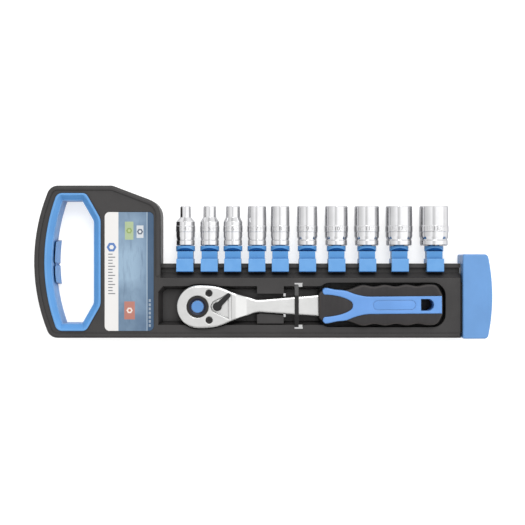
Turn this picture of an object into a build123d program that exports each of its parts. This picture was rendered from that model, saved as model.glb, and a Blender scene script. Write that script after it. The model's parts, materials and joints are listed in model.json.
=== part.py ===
"""Quarter inch socket set in a hanging tray.

Frame: +X runs from the carrying handle to the end cap, +Y towards the sockets, +Z out of the tray's face.
The tray lies on its back, and the origin is at the middle of the footprint, on the floor. Millimetres.
"""

import os
from math import cos, radians, sin, tan

from build123d import *

# ---- Driving dimensions -------------------------------------------------------------------------
LENGTH = 287.0
WIDTH = 96.0
TRAY_DEPTH = 20.0
WALL = 2.2
TUB_WALL = 1.6
CLEAR = 0.2

# Tray outline, seen on its face
LEFT_X = -LENGTH / 2
TOP_Y = WIDTH / 2
HANDLE_RADIUS = 117.0
TRAY_CORNER = 7.0
SHOULDER_ROUND = 11.0
BEND_ROUND = 5.0
RIM_ROUND = 1.6
PLATE_RIGHT = -64.0
SHOULDER_X = -94.4
SHOULDER_Y = 36.5
TRAY_RIGHT = 124.0
TRAY_TOP_Y = -9.7
TRAY_BOTTOM_Y = -47.6
RIM_WIDTH = 2.8
FACE_Z = 19.4
RIB_THICK = 1.4
PLATE_RIBS_Y = (-24.0, 0.0, 24.0)
TRAY_RIBS_X = (-56.0, -10.0, 30.5, 58.0, 86.0, 118.0)

# Rail and clips
RAIL_Z = 11.0
RAIL_ROOT_Y = -7.1
RAIL_EDGE_Y = -0.9
RAIL_HEAD_DEEP = 2.6
RAIL_HEAD_THICK = 9.0
RAIL_STEM_THICK = 4.0
CLIP_WIDE = 10.6
CLIP_THICK = 16.0
CLIP_LOW_Y = -6.2
CLIP_HIGH_Y = 2.1
CLIP_ROUND = 0.6
NECK_WIDE = 10.0
NECK_THICK = 7.8
FLANGE_LOW_Y = 6.8
FLANGE_HIGH_Y = 10.2
FLANGE_RADIUS = 6.0
FLANGE_SLOPE = 2.6
FLANGE_SLOPE_LOW = 2.0
PEG_SIDE = 6.1
PEG_LONG = 8.0
PEG_CHAMFER = 0.8
PEG_SLOT = 1.2
PEG_ROOT = 2.0

# Sockets: hexagon across flats, nose diameter, place along the rail
SEAT_Y = 10.4
SOCKET_LONG = 25.0
DRIVE_SIDE = 6.4
DRIVE_DEEP = 8.8
DRIVE_BODY = 11.8
SOCKET_EDGE = 0.5
GROOVE_Y = (3.2, 3.5, 4.0, 5.6)
GROOVE_DEEP = 0.3
BAND_Y = (8.5, 8.7, 12.3, 12.5)
BAND_PROUD = 0.2
NOSE_Y = (15.0, 17.8)
HEX_DEEP = 12.0
HEX_DEEP_SMALL = 8.0
SOCKETS = [
    (4.0, 6.8, -49.0),
    (5.0, 8.2, -33.7),
    (6.0, 9.1, -19.0),
    (7.0, 11.8, -3.8),
    (8.0, 11.8, 10.9),
    (9.0, 12.9, 28.0),
    (10.0, 14.5, 46.4),
    (11.0, 15.6, 65.7),
    (12.0, 16.8, 86.1),
    (13.0, 18.2, 108.2),
]

# Carrying handle insert
INSERT_LEFT = -136.9
INSERT_RADIUS = 120.0
INSERT_TOP = 43.2
INSERT_RIGHT = -101.6
INSERT_BEND_X = -110.8
INSERT_BEND_Y = 27.0
INSERT_LIP = 4.6
INSERT_PROUD = 0.8
INSERT_SEAT = 1.4
INSERT_LEFT_ROUND = 4.5
INSERT_BEND_ROUND = 4.0
INSERT_RIGHT_ROUND = 9.0
INSERT_FOOT = 0.4
PAD_HALF = 14.0
PAD_DEEP = 2.3
PAD_HIGH = 17.6

# Label
LABEL_CENTRE = (-83.8, -5.9)
LABEL_SIZE = (30.7, 74.4)
LABEL_THICK = 0.4
LABEL_ROUND = 3.0

# Tool pocket
POCKET_LEFT = -65.6
POCKET_RIGHT = 104.4
POCKET_CUT = (3.0, 3.5)
POCKET_TOP_Y = -15.1
POCKET_LOW_Y = -39.5
POCKET_FLOOR = 11.3
GRIP_FLOOR = 8.9
POCKET_DRAFT = 15.0
GRIP_POCKET = (34.0, 114.4)
GRIP_POCKET_Y = (-40.8, -12.9)
GRIP_POCKET_ROUND = 8.0
HEAD_ROOM = 0.7
WELL_RADIUS = 6.4
WELL_FLOOR = 2.4
JAW_X = (-3.7, 13.0)
JAW_TOP_Y = -19.8
JAW_HUMP = 2.2
JAW_GRIP_Y = (-32.9, -32.2, -33.3)
RELIEF_X = 13.7
RELIEF_Y = (-20.8, -33.9)
RELIEF_SIZE = (1.4, 1.9)
SLOT_X = 22.4
SLOT_SIZE = (5.2, 2.6)
SLOT_Y = (-14.4, -40.6)

# End cap
CAP_LEFT = 125.0
CAP_TOP_Y = 4.9
CAP_HIGH = 21.0
CAP_BULGE = 2.9
CAP_ROUND = 2.6
CAP_INNER_ROUND = 1.0
CAP_TOP_ROUND = 0.9
TENON = 9.0
TENON_INSET = 3.5
TENON_THICK = 15.0
TENON_WALL = 2.0

# Ratchet, in its own plane: origin at the drive axis on the head's face, +X towards the grip
HEAD_CENTRE = (-40.8, -27.9)
HEAD_TOP = 22.4
HEAD_TURN = 0.5
HEAD_THICK = 11.0
HEAD_RADIUS = 13.45
COVER_THICK = 1.6
COVER_END = 21.0
EDGE = 1.2
SHAFT_TOP = -2.2
SHAFT_LOW = -8.6
WAIST_X = 39.9
WAIST_HALF = 4.1
GRIP_START = 75.7
GRIP_END = 152.8
GRIP_TOP = 2.6
GRIP_LOW = -13.4
GRIP_HALF = 12.7
SHAFT_HALF = 6.8
TANG_END = 112.0
TANG_HALF = 3.6
TANG_Z = (-7.2, -3.6)
WAVE_PITCH = 13.5
WAVE_DEEP = 1.0
WAVE_START = 103.3
FORK_START = 78.0
HOLE_X = 143.1
HOLE_SIZE = (8.2, 7.4)
BAR_HALF = 5.45
BADGE = (122.5, 26.8, 6.3)
BADGE_LINE = 0.45
RUBBER_ROUND = 1.5
CORE_ROUND = 0.7

# Ratchet mechanism
PIVOT_X = 12.3
LEVER_ANGLE = 44.5
LEVER_LONG = 9.9
LEVER_TIP = 1.4
LEVER_ROOT = 1.9
LEVER_BOSS = 2.75
LEVER_STEM = 2.4
LEVER_PIN = 1.2
BED_RADIUS = 4.0
BED_ARC = (116, 128)
BED_END = (19.2, 7.7)
BED_DEEP = 0.5
BED_SEAM = 0.35
BED_SEAM_DEEP = 1.0
GEAR_TEETH = 36
GEAR_TIP = 7.4
GEAR_ROOT = 6.8
PAWL_SWING = 5.0
PAWL_TEETH = (15.0, 25.0, 35.0)
CAVITY_LOW = -8.9
COLLAR_RADIUS = 6.85
COLLAR_BORE = 4.0
COLLAR_BEVEL = 5.2
COLLAR_SEAT = 5.4
JOURNAL_RADIUS = 5.5
RUNNING = 0.05
SCREW_SPOTS = ((7.15, 8.4), (7.15, -8.4))
SCREW_HEAD = 2.15
SCREW_CORE = 1.0
SCREW_HEX = 1.1
SCREW_END = -6.8
ANVIL_SIDE = 6.35
ANVIL_LONG = 8.5
BUTTON_RADIUS = 3.8
BUTTON_LOW = -3.4
BUTTON_TRAVEL = 1.5
SPRING_LOW = -10.0
PIN_RADIUS = 1.1
BALL_RADIUS = 1.2
BALL_DEPTH = -15.2
BALL_PROUD = 0.5

# Strap
STRAP_X = 21.1
STRAP_WIDE = 2.5
STRAP_THICK = 0.9
STRAP_LOW = 4.0
STRAP_BEND = 19.2
STRAP_LEGS_Y = (-14.3, -40.8)
STRAP_FLAT_Y = (-20.9, -33.7)

RATCHET = Plane(
    origin=(*HEAD_CENTRE, HEAD_TOP),
    x_dir=(cos(radians(HEAD_TURN)), sin(radians(HEAD_TURN)), 0),
    z_dir=(0, 0, 1),
)
RATCHET_SIDE = Plane(origin=RATCHET.origin, x_dir=RATCHET.x_dir, z_dir=-RATCHET.y_dir)
DRIVE_AXIS = Axis(RATCHET.origin, (0, 0, 1))
PIVOT = Plane(
    origin=RATCHET.from_local_coords((PIVOT_X, 0, 0)),
    x_dir=RATCHET.x_dir,
    z_dir=(0, 0, 1),
)

os.makedirs("parts", exist_ok=True)


def save(part, name):
    """Labels a finished piece and writes it to its own file."""
    part.label = name
    export_step(part, f"parts/{name}.step")


# ---- Tray ---------------------------------------------------------------------------------------
def ratchet_outline():
    """Head, neck and shaft seen on the face, as far as the grip."""
    rise = (SHAFT_HALF - WAIST_HALF) / (GRIP_START - WAIST_X)
    left = HEAD_RADIUS - 0.35
    with BuildSketch() as outline:
        with BuildLine():
            CenterArc((0.35, 0), HEAD_RADIUS, 90, 90)
            Spline(
                (0.35, HEAD_RADIUS),
                (7.0, 13.25),
                (13.7, 12.1),
                (19.7, 9.8),
                (26.6, 7.25),
                (33.6, 5.2),
                (WAIST_X, WAIST_HALF),
                tangents=((1, 0), (1, rise)),
            )
            Polyline((WAIST_X, WAIST_HALF), (GRIP_START, SHAFT_HALF), (GRIP_START, 0), (-left, 0))
        make_face()
        mirror(about=Plane.XZ)
    return outline.sketch


def tray_outline():
    """The face of the tray: handle plate with its curved left edge, and the tool tray beside it."""
    centre_x = LEFT_X + HANDLE_RADIUS
    corner_x = centre_x - (HANDLE_RADIUS**2 - TOP_Y**2) ** 0.5
    low_x = centre_x - (HANDLE_RADIUS**2 - TRAY_BOTTOM_Y**2) ** 0.5
    with BuildSketch() as face:
        with BuildLine():
            ThreePointArc((low_x, TRAY_BOTTOM_Y), (LEFT_X, 0), (corner_x, TOP_Y))
            Polyline(
                (corner_x, TOP_Y),
                (SHOULDER_X, TOP_Y),
                (PLATE_RIGHT, SHOULDER_Y),
                (PLATE_RIGHT, TRAY_TOP_Y),
                (TRAY_RIGHT, TRAY_TOP_Y),
                (TRAY_RIGHT, TRAY_BOTTOM_Y),
                (low_x, TRAY_BOTTOM_Y),
            )
        make_face()
        left = face.vertices().sort_by(Axis.X)[:2]
        fillet(left, TRAY_CORNER)
        shoulder = face.vertices().sort_by_distance((PLATE_RIGHT, SHOULDER_Y))[0]
        fillet(shoulder, SHOULDER_ROUND)
        bend = face.vertices().sort_by_distance((SHOULDER_X, TOP_Y))[0]
        fillet(bend, BEND_ROUND)
    return face.sketch


def insert_outline():
    """The outer edge of the handle insert, concentric with the tray's curved edge."""
    centre_x = INSERT_LEFT + INSERT_RADIUS
    corner_x = centre_x - (INSERT_RADIUS**2 - INSERT_TOP**2) ** 0.5
    with BuildSketch() as edge:
        with BuildLine():
            ThreePointArc((corner_x, -INSERT_TOP), (INSERT_LEFT, 0), (corner_x, INSERT_TOP))
            Polyline(
                (corner_x, INSERT_TOP),
                (INSERT_BEND_X, INSERT_TOP),
                (INSERT_RIGHT, INSERT_BEND_Y),
                (INSERT_RIGHT, -INSERT_BEND_Y),
                (INSERT_BEND_X, -INSERT_TOP),
                (corner_x, -INSERT_TOP),
            )
        make_face()
        fillet(edge.vertices().sort_by(Axis.X)[:2], INSERT_LEFT_ROUND)
        fillet(edge.vertices().group_by(Axis.X)[-1], INSERT_RIGHT_ROUND)
        bends = [v for v in edge.vertices() if abs(v.X - INSERT_BEND_X) < 0.01]
        fillet(bends, INSERT_BEND_ROUND)
    return edge.sketch


def pocket_outline():
    """The tool pocket at the head and neck, with its cut corner by the label."""
    with BuildSketch() as pocket:
        with BuildLine():
            Polyline(
                (POCKET_LEFT, POCKET_LOW_Y),
                (POCKET_LEFT, POCKET_TOP_Y - POCKET_CUT[1]),
                (POCKET_LEFT + POCKET_CUT[0], POCKET_TOP_Y),
                (POCKET_RIGHT, POCKET_TOP_Y),
                (POCKET_RIGHT, POCKET_LOW_Y),
                close=True,
            )
        make_face()
    return pocket.sketch


def head_pocket():
    """The part of the pocket that follows the ratchet's head with a little room round it."""
    room = HEAD_RADIUS + HEAD_ROOM
    with BuildSketch() as clearance:
        with BuildLine():
            CenterArc((0.35, 0), room, 90, 90)
            side = ThreePointArc((0.35, room), (10.5, room - 0.8), (20.0, room - 3.1))
            Polyline(side @ 1, (30.0, room / 2), (30.0, 0), (0.35 - room, 0))
        make_face()
        mirror(about=Plane.XZ)
    return clearance.sketch.moved(Location((*HEAD_CENTRE, 0), (0, 0, HEAD_TURN)))


def grip_pocket():
    """The rounded pocket that takes the grip."""
    wide = GRIP_POCKET[1] - GRIP_POCKET[0]
    high = GRIP_POCKET_Y[1] - GRIP_POCKET_Y[0]
    with BuildSketch() as clearance:
        with Locations((GRIP_POCKET[0] + wide / 2, GRIP_POCKET_Y[0] + high / 2)):
            RectangleRounded(wide, high, GRIP_POCKET_ROUND)
    return clearance.sketch


def back_ribs():
    """Stiffening ribs behind the face."""
    with BuildSketch() as ribs:
        with Locations(*[(PLATE_RIGHT - 20, y) for y in PLATE_RIBS_Y]):
            Rectangle(40.0, RIB_THICK)
        with Locations(*[(x, (TRAY_TOP_Y + TRAY_BOTTOM_Y) / 2) for x in TRAY_RIBS_X]):
            Rectangle(RIB_THICK, TRAY_TOP_Y - TRAY_BOTTOM_Y)
    return ribs.sketch


def tub(skin):
    """What the back hollow leaves standing between its own depth and the face."""
    with BuildSketch() as solid:
        add(insert_outline())
        for part in skin:
            add(part)
        offset(amount=TUB_WALL)
        add(back_ribs())
    return solid.sketch


HOLLOW = [
    (0.0, GRIP_FLOOR - WALL, []),
    (GRIP_FLOOR - WALL, POCKET_FLOOR - WALL, [grip_pocket()]),
    (POCKET_FLOOR - WALL, FACE_Z - WALL, [grip_pocket(), pocket_outline(), head_pocket()]),
]

with BuildPart() as tray_body:
    with BuildSketch():
        add(tray_outline())
    extrude(amount=TRAY_DEPTH)
    fillet(tray_body.faces().sort_by(Axis.Z)[-1].edges(), RIM_ROUND)
    # The face lies below its rim, and runs out at the rail side and under the end cap.
    with BuildSketch(Plane.XY.offset(FACE_Z)):
        add(tray_outline())
        offset(amount=-RIM_WIDTH)
        with Locations(((PLATE_RIGHT + TRAY_RIGHT) / 2, TRAY_TOP_Y - 8)):
            Rectangle(TRAY_RIGHT - PLATE_RIGHT + 6, 18)
        with Locations((TRAY_RIGHT - 2, (TRAY_TOP_Y + TRAY_BOTTOM_Y) / 2)):
            Rectangle(8, TRAY_TOP_Y - TRAY_BOTTOM_Y - 2 * RIM_WIDTH)
    extrude(amount=TRAY_DEPTH - FACE_Z + 1, mode=Mode.SUBTRACT)
    # Hollow back, in layers that leave the pocket's tub standing.
    for low, high, skin in HOLLOW:
        with BuildSketch(Plane.XY.offset(low)):
            add(tray_outline())
            offset(amount=-WALL)
            add(tub(skin), mode=Mode.SUBTRACT)
            with Locations(HEAD_CENTRE):
                Circle(WELL_RADIUS + TUB_WALL, mode=Mode.SUBTRACT)
        extrude(amount=high - low, mode=Mode.SUBTRACT)
    # Opening that the handle insert is pressed into.
    with BuildSketch():
        add(insert_outline())
        offset(amount=-INSERT_SEAT)
    extrude(amount=TRAY_DEPTH, mode=Mode.SUBTRACT)
    # Tool pocket with drafted walls, head and grip recesses, and the well for the square drive.
    with BuildSketch(Plane.XY.offset(FACE_Z)):
        add(pocket_outline())
    extrude(amount=POCKET_FLOOR - FACE_Z, taper=POCKET_DRAFT, mode=Mode.SUBTRACT)
    with BuildSketch(Plane.XY.offset(POCKET_FLOOR)):
        add(head_pocket())
    extrude(amount=FACE_Z - POCKET_FLOOR + 1, mode=Mode.SUBTRACT)
    with BuildSketch(Plane.XY.offset(GRIP_FLOOR)):
        add(grip_pocket())
    extrude(amount=FACE_Z - GRIP_FLOOR + 1, mode=Mode.SUBTRACT)
    with BuildSketch(Plane.XY.offset(WELL_FLOOR)):
        with Locations(HEAD_CENTRE):
            Circle(WELL_RADIUS)
    extrude(amount=POCKET_FLOOR - WELL_FLOOR + 1, mode=Mode.SUBTRACT)
    # Shoulder that steps down to the rail.
    with BuildSketch(Plane.YZ.offset(PLATE_RIGHT)):
        with BuildLine():
            Polyline(
                (RAIL_ROOT_Y, FACE_Z - 4.5),
                (TRAY_TOP_Y - 0.6, FACE_Z - 0.6),
                (TRAY_TOP_Y - 0.6, 0),
                (RAIL_ROOT_Y, 0),
                close=True,
            )
        make_face()
    extrude(amount=TRAY_RIGHT - PLATE_RIGHT)
    # T-shaped rail.
    with BuildSketch(Plane.YZ.offset(PLATE_RIGHT - 0.5)):
        stem = RAIL_EDGE_Y - RAIL_ROOT_Y
        with Locations((RAIL_ROOT_Y + stem / 2 - 0.5, RAIL_Z)):
            Rectangle(stem, RAIL_STEM_THICK)
        with Locations((RAIL_EDGE_Y - RAIL_HEAD_DEEP / 2, RAIL_Z)):
            Rectangle(RAIL_HEAD_DEEP, RAIL_HEAD_THICK)
    extrude(amount=TRAY_RIGHT - PLATE_RIGHT + 0.5)
    # Jaws either side of the shaft: the upper one level with the face, the lower one against the shaft.
    jaw_left, jaw_right = JAW_X
    with BuildSketch(Plane.XY.offset(POCKET_FLOOR - 1)):
        with Locations(((jaw_left + jaw_right) / 2, (POCKET_TOP_Y + JAW_TOP_Y) / 2)):
            Rectangle(jaw_right - jaw_left, POCKET_TOP_Y - JAW_TOP_Y)
    extrude(amount=FACE_Z - POCKET_FLOOR + 1)
    with BuildSketch(Plane.XY.offset(POCKET_FLOOR - 1)):
        with BuildLine():
            Polyline(
                (jaw_left, POCKET_LOW_Y + 0.9),
                (jaw_right, POCKET_LOW_Y + 0.9),
                (jaw_right, JAW_GRIP_Y[2]),
                (jaw_left + JAW_HUMP, JAW_GRIP_Y[1]),
                (jaw_left, JAW_GRIP_Y[0]),
                close=True,
            )
        make_face()
    extrude(amount=FACE_Z - POCKET_FLOOR)
    # Relief holes at the ends of the jaws, and the strap's two slots.
    with BuildSketch():
        with Locations(*[(RELIEF_X, y) for y in RELIEF_Y]):
            Rectangle(*RELIEF_SIZE)
        with Locations(*[(SLOT_X, y) for y in SLOT_Y]):
            Rectangle(*SLOT_SIZE)
    extrude(amount=TRAY_DEPTH, mode=Mode.SUBTRACT)
    # Shallow bed for the label.
    with BuildSketch(Plane.XY.offset(FACE_Z - LABEL_THICK - 0.1)):
        with Locations(LABEL_CENTRE):
            RectangleRounded(LABEL_SIZE[0] + 2 * CLEAR, LABEL_SIZE[1] + 2 * CLEAR, LABEL_ROUND + CLEAR)
    extrude(amount=2, mode=Mode.SUBTRACT)
    # Tenon that plugs into the end cap.
    tenon_mid = (TRAY_TOP_Y + TRAY_BOTTOM_Y) / 2
    tenon_high = TRAY_TOP_Y - TRAY_BOTTOM_Y - 2 * TENON_INSET
    with BuildSketch(Plane.YZ.offset(TRAY_RIGHT - 2)):
        with Locations((tenon_mid, TRAY_DEPTH / 2)):
            Rectangle(tenon_high, TENON_THICK)
            Rectangle(tenon_high - 2 * TENON_WALL, TENON_THICK - 2 * TENON_WALL, mode=Mode.SUBTRACT)
    extrude(amount=TENON + 2)
save(tray_body.part, "tray_body")

with BuildPart() as handle_insert:
    with BuildSketch(Plane.XY.offset(INSERT_FOOT)):
        add(insert_outline())
        offset(amount=-INSERT_SEAT - 0.1)
    extrude(amount=FACE_Z - INSERT_FOOT)
    with BuildSketch(Plane.XY.offset(FACE_Z)):
        add(insert_outline())
    extrude(amount=INSERT_PROUD)
    rim = handle_insert.faces().sort_by(Axis.Z)[-1].edges()
    fillet(rim, 0.5)
    with BuildSketch(Plane.XY.offset(FACE_Z + INSERT_PROUD)):
        add(insert_outline())
        offset(amount=-1.2)
    extrude(amount=-2.8, taper=45, mode=Mode.SUBTRACT)
    with BuildSketch():
        add(insert_outline())
        offset(amount=-INSERT_LIP)
    extrude(amount=TRAY_DEPTH + 2, mode=Mode.SUBTRACT)
    # Sloped finger pad inside the curved side, with a notch at its middle.
    pad_left = INSERT_LEFT + INSERT_LIP - 0.4
    with BuildSketch(Plane.XY.offset(INSERT_FOOT)):
        add(insert_outline())
        offset(amount=-INSERT_LIP + 0.4)
        with BuildSketch(mode=Mode.PRIVATE) as inside:
            add(insert_outline())
            offset(amount=-INSERT_LIP - PAD_DEEP)
        add(inside.sketch, mode=Mode.SUBTRACT)
        with Locations((pad_left + 3, 0)):
            Rectangle(8.0, 2 * PAD_HALF, mode=Mode.INTERSECT)
        with Locations((pad_left + PAD_DEEP + 0.6, -1.5)):
            Rectangle(1.6, 1.6, rotation=45, mode=Mode.SUBTRACT)
    extrude(amount=PAD_HIGH, taper=6)
save(handle_insert.part, "handle_insert")

with BuildPart() as label_card:
    with BuildSketch(Plane.XY.offset(FACE_Z - LABEL_THICK - 0.1)):
        with Locations(LABEL_CENTRE):
            RectangleRounded(*LABEL_SIZE, LABEL_ROUND)
    extrude(amount=LABEL_THICK)
save(label_card.part, "label_card")

with BuildPart() as end_cap:
    cap_right = LENGTH / 2
    with BuildSketch():
        with BuildLine():
            Polyline(
                (cap_right - CAP_BULGE, -TOP_Y),
                (CAP_LEFT, -TOP_Y),
                (CAP_LEFT, CAP_TOP_Y),
                (cap_right - CAP_BULGE, CAP_TOP_Y),
            )
            ThreePointArc(
                (cap_right - CAP_BULGE, CAP_TOP_Y),
                (cap_right, (CAP_TOP_Y - TOP_Y) / 2),
                (cap_right - CAP_BULGE, -TOP_Y),
            )
        make_face()
    extrude(amount=CAP_HIGH)
    fillet(end_cap.edges().filter_by(Axis.Z).group_by(Axis.X)[-1], CAP_ROUND)
    fillet(end_cap.edges().filter_by(Axis.Z).group_by(Axis.X)[0], CAP_INNER_ROUND)
    fillet(end_cap.faces().sort_by(Axis.Z)[-1].edges(), CAP_TOP_ROUND)
    with BuildSketch(Plane.YZ.offset(CAP_LEFT)):
        with Locations((tenon_mid, TRAY_DEPTH / 2)):
            Rectangle(tenon_high + 2 * CLEAR, TENON_THICK + 2 * CLEAR)
    extrude(amount=TENON, mode=Mode.SUBTRACT)
save(end_cap.part, "end_cap")


# ---- Clips and sockets --------------------------------------------------------------------------
def make_clip(x, name):
    """A sliding clip: T-slotted block on the rail, neck, flange, and the split peg a socket sits on."""
    with BuildPart() as clip:
        with BuildSketch(Plane.YZ.offset(x - CLIP_WIDE / 2)):
            with Locations(((CLIP_LOW_Y + CLIP_HIGH_Y) / 2, RAIL_Z)):
                Rectangle(CLIP_HIGH_Y - CLIP_LOW_Y, CLIP_THICK)
            head_y = RAIL_EDGE_Y - RAIL_HEAD_DEEP / 2
            with Locations((head_y, RAIL_Z)):
                Rectangle(
                    RAIL_HEAD_DEEP + 2 * CLEAR, RAIL_HEAD_THICK + 2 * CLEAR, mode=Mode.SUBTRACT
                )
            with Locations((CLIP_LOW_Y, RAIL_Z)):
                Rectangle(8.0, RAIL_STEM_THICK + 2 * CLEAR, mode=Mode.SUBTRACT)
        extrude(amount=CLIP_WIDE)
        corners = [
            e
            for e in clip.edges().filter_by(Axis.X)
            if abs(abs(e.center().Z - RAIL_Z) - CLIP_THICK / 2) < 0.01
        ]
        fillet(corners, CLIP_ROUND)
        peg_plane = Plane((x, CLIP_HIGH_Y, RAIL_Z), x_dir=(1, 0, 0), z_dir=(0, 1, 0))
        with BuildSketch(peg_plane):
            Rectangle(NECK_WIDE, NECK_THICK)
        extrude(amount=FLANGE_LOW_Y - CLIP_HIGH_Y)
        with BuildSketch(peg_plane.offset(FLANGE_LOW_Y - CLIP_HIGH_Y)):
            Circle(FLANGE_RADIUS)
        extrude(amount=FLANGE_HIGH_Y - FLANGE_LOW_Y)
        # Sloped undersides of the flange, front and back.
        reach = FLANGE_RADIUS + 1
        with BuildSketch(Plane.YZ.offset(x - 8)):
            for side in (1, -1):
                with BuildLine():
                    Polyline(
                        (FLANGE_LOW_Y, RAIL_Z + side * FLANGE_SLOPE_LOW),
                        (FLANGE_LOW_Y, RAIL_Z + side * reach),
                        (FLANGE_LOW_Y + FLANGE_SLOPE, RAIL_Z + side * reach),
                        close=True,
                    )
                make_face()
        extrude(amount=16, mode=Mode.SUBTRACT)
        with BuildSketch(peg_plane.offset(FLANGE_HIGH_Y - CLIP_HIGH_Y)):
            Rectangle(PEG_SIDE, PEG_SIDE)
        extrude(amount=PEG_LONG)
        chamfer(clip.faces().sort_by(Axis.Y)[-1].edges(), PEG_CHAMFER)
        with BuildSketch(peg_plane.offset(FLANGE_HIGH_Y - CLIP_HIGH_Y + PEG_ROOT)):
            Rectangle(PEG_SLOT, PEG_SIDE + 2)
        extrude(amount=PEG_LONG, mode=Mode.SUBTRACT)
    save(clip.part, name)


def make_socket(across, nose, x, name):
    """A socket: square drive end with its groove, marking band, and hexagon mouth."""
    body = max(nose, DRIVE_BODY)
    radius = body / 2
    foot = radius - (0.35 if nose > DRIVE_BODY else 0.1)
    nose_radius = nose / 2
    axis_plane = Plane((x, SEAT_Y, RAIL_Z), x_dir=(1, 0, 0), z_dir=(0, 0, 1))
    end_plane = Plane((x, SEAT_Y, RAIL_Z), x_dir=(1, 0, 0), z_dir=(0, 1, 0))
    hex_deep = HEX_DEEP_SMALL if nose < DRIVE_BODY else HEX_DEEP
    mouth = across / 2 / cos(radians(30)) + 0.25
    with BuildPart() as socket:
        with BuildSketch(axis_plane):
            with BuildLine():
                step = [(radius, NOSE_Y[0]), (nose_radius, NOSE_Y[1])]
                Polyline(
                    (0, 0),
                    (foot - SOCKET_EDGE, 0),
                    (foot, SOCKET_EDGE),
                    (foot, GROOVE_Y[0]),
                    (foot - GROOVE_DEEP, GROOVE_Y[1]),
                    (foot - GROOVE_DEEP, GROOVE_Y[2]),
                    (radius, GROOVE_Y[3]),
                    (radius, BAND_Y[0]),
                    (radius + BAND_PROUD, BAND_Y[1]),
                    (radius + BAND_PROUD, BAND_Y[2]),
                    (radius, BAND_Y[3]),
                    *(step if nose < DRIVE_BODY else []),
                    (nose_radius, SOCKET_LONG - SOCKET_EDGE),
                    (nose_radius - SOCKET_EDGE, SOCKET_LONG),
                    (0, SOCKET_LONG),
                    close=True,
                )
            make_face()
        revolve(axis=Axis((x, 0, RAIL_Z), (0, 1, 0)))
        with BuildSketch(axis_plane):
            with BuildLine():
                Polyline(
                    (0, SOCKET_LONG + 1),
                    (mouth + 1.73, SOCKET_LONG + 1),
                    (0, SOCKET_LONG - mouth * tan(radians(30))),
                    close=True,
                )
            make_face()
        revolve(axis=Axis((x, 0, RAIL_Z), (0, 1, 0)), mode=Mode.SUBTRACT)
        with BuildSketch(end_plane):
            Rectangle(DRIVE_SIDE, DRIVE_SIDE)
        extrude(amount=DRIVE_DEEP, mode=Mode.SUBTRACT)
        with BuildSketch(end_plane.offset(SOCKET_LONG - hex_deep)):
            RegularPolygon(radius=across / 2, side_count=6, major_radius=False)
        extrude(amount=hex_deep + 1, mode=Mode.SUBTRACT)
        with BuildSketch(end_plane.offset(DRIVE_DEEP - 1)):
            Circle(min(across / 2 - 0.2, 2.9))
        extrude(amount=SOCKET_LONG, mode=Mode.SUBTRACT)
    save(socket.part, name)


for across, nose, x in SOCKETS:
    size = f"{across:02.0f}mm"
    make_clip(x, f"clip_{size}")
    make_socket(across, nose, x, f"socket_{size}")


# ---- Ratchet ------------------------------------------------------------------------------------
def ratchet_block():
    """The forged shape of head, cover and shaft together, before they are parted and bored."""
    with BuildPart() as block:
        with BuildSketch(RATCHET.offset(-HEAD_THICK)):
            add(ratchet_outline())
        extrude(amount=HEAD_THICK)
        with BuildSketch(RATCHET_SIDE):
            with BuildLine():
                Polyline(
                    (-20, -HEAD_THICK),
                    (17.0, -HEAD_THICK),
                    (27.0, SHAFT_LOW),
                    (GRIP_START + 1, SHAFT_LOW),
                    (GRIP_START + 1, SHAFT_TOP),
                    (30.5, SHAFT_TOP),
                    (23.9, 0),
                    (-20, 0),
                    close=True,
                )
            make_face()
        extrude(amount=20, both=True, mode=Mode.INTERSECT)
        fillet(rim_edges(block, 1), EDGE)
        fillet(rim_edges(block, -1), EDGE)
    return block.part


def rim_edges(block, side):
    """Edges along the outline of the upper (side 1) or lower (side -1) faces."""
    faces = block.faces().filter_by(GeomType.PLANE).filter_by(lambda f: side * f.normal_at().Z > 0.5)
    middles = [(edge, RATCHET.to_local_coords(edge @ 0.5)) for edge in faces.edges()]
    return [e for e, mid in middles if mid.X < 0 or (abs(mid.Y) > 3 and mid.X < GRIP_START - 0.5)]


def bore(radius, high, low, plane=RATCHET, mode=Mode.SUBTRACT):
    """A round hole or shaft between two heights of a plane."""
    with BuildSketch(plane.offset(low)) as disc:
        Circle(radius)
    extrude(disc.sketch, amount=high - low, mode=mode)


def pawl_arm():
    """One arm of the pawl on the +Y side, with its teeth in the gear's gaps."""
    tip = GEAR_ROOT + 0.15
    foot = GEAR_TIP + 0.2
    with BuildSketch() as arm:
        with BuildLine():
            start, end = PAWL_TEETH[0] - 15.0, PAWL_TEETH[-1] + 3.5
            inner = CenterArc((0, 0), foot, start, end - start)
            outer = CenterArc((0, 0), 9.1, start, end - start)
            Line(inner @ 0, outer @ 0)
            Line(inner @ 1, outer @ 1)
        make_face()
        for angle in PAWL_TEETH:
            with Locations(Location((0, 0, 0), (0, 0, angle))):
                Polygon((tip, 0), (foot + 0.1, 0.5), (foot + 0.1, -0.5), align=None)
    return arm.sketch


def pawl_outline():
    """Both arms: the upper one in mesh, the lower one rocked clear about the lever's pivot."""
    with BuildSketch() as outline:
        add(pawl_arm())
        with BuildSketch(mode=Mode.PRIVATE) as lower:
            add(pawl_arm())
            mirror(about=Plane.XZ, mode=Mode.REPLACE)
        add(lower.sketch.rotate(Axis((PIVOT_X, 0, 0), (0, 0, 1)), PAWL_SWING))
    return outline.sketch


block = ratchet_block()

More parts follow.
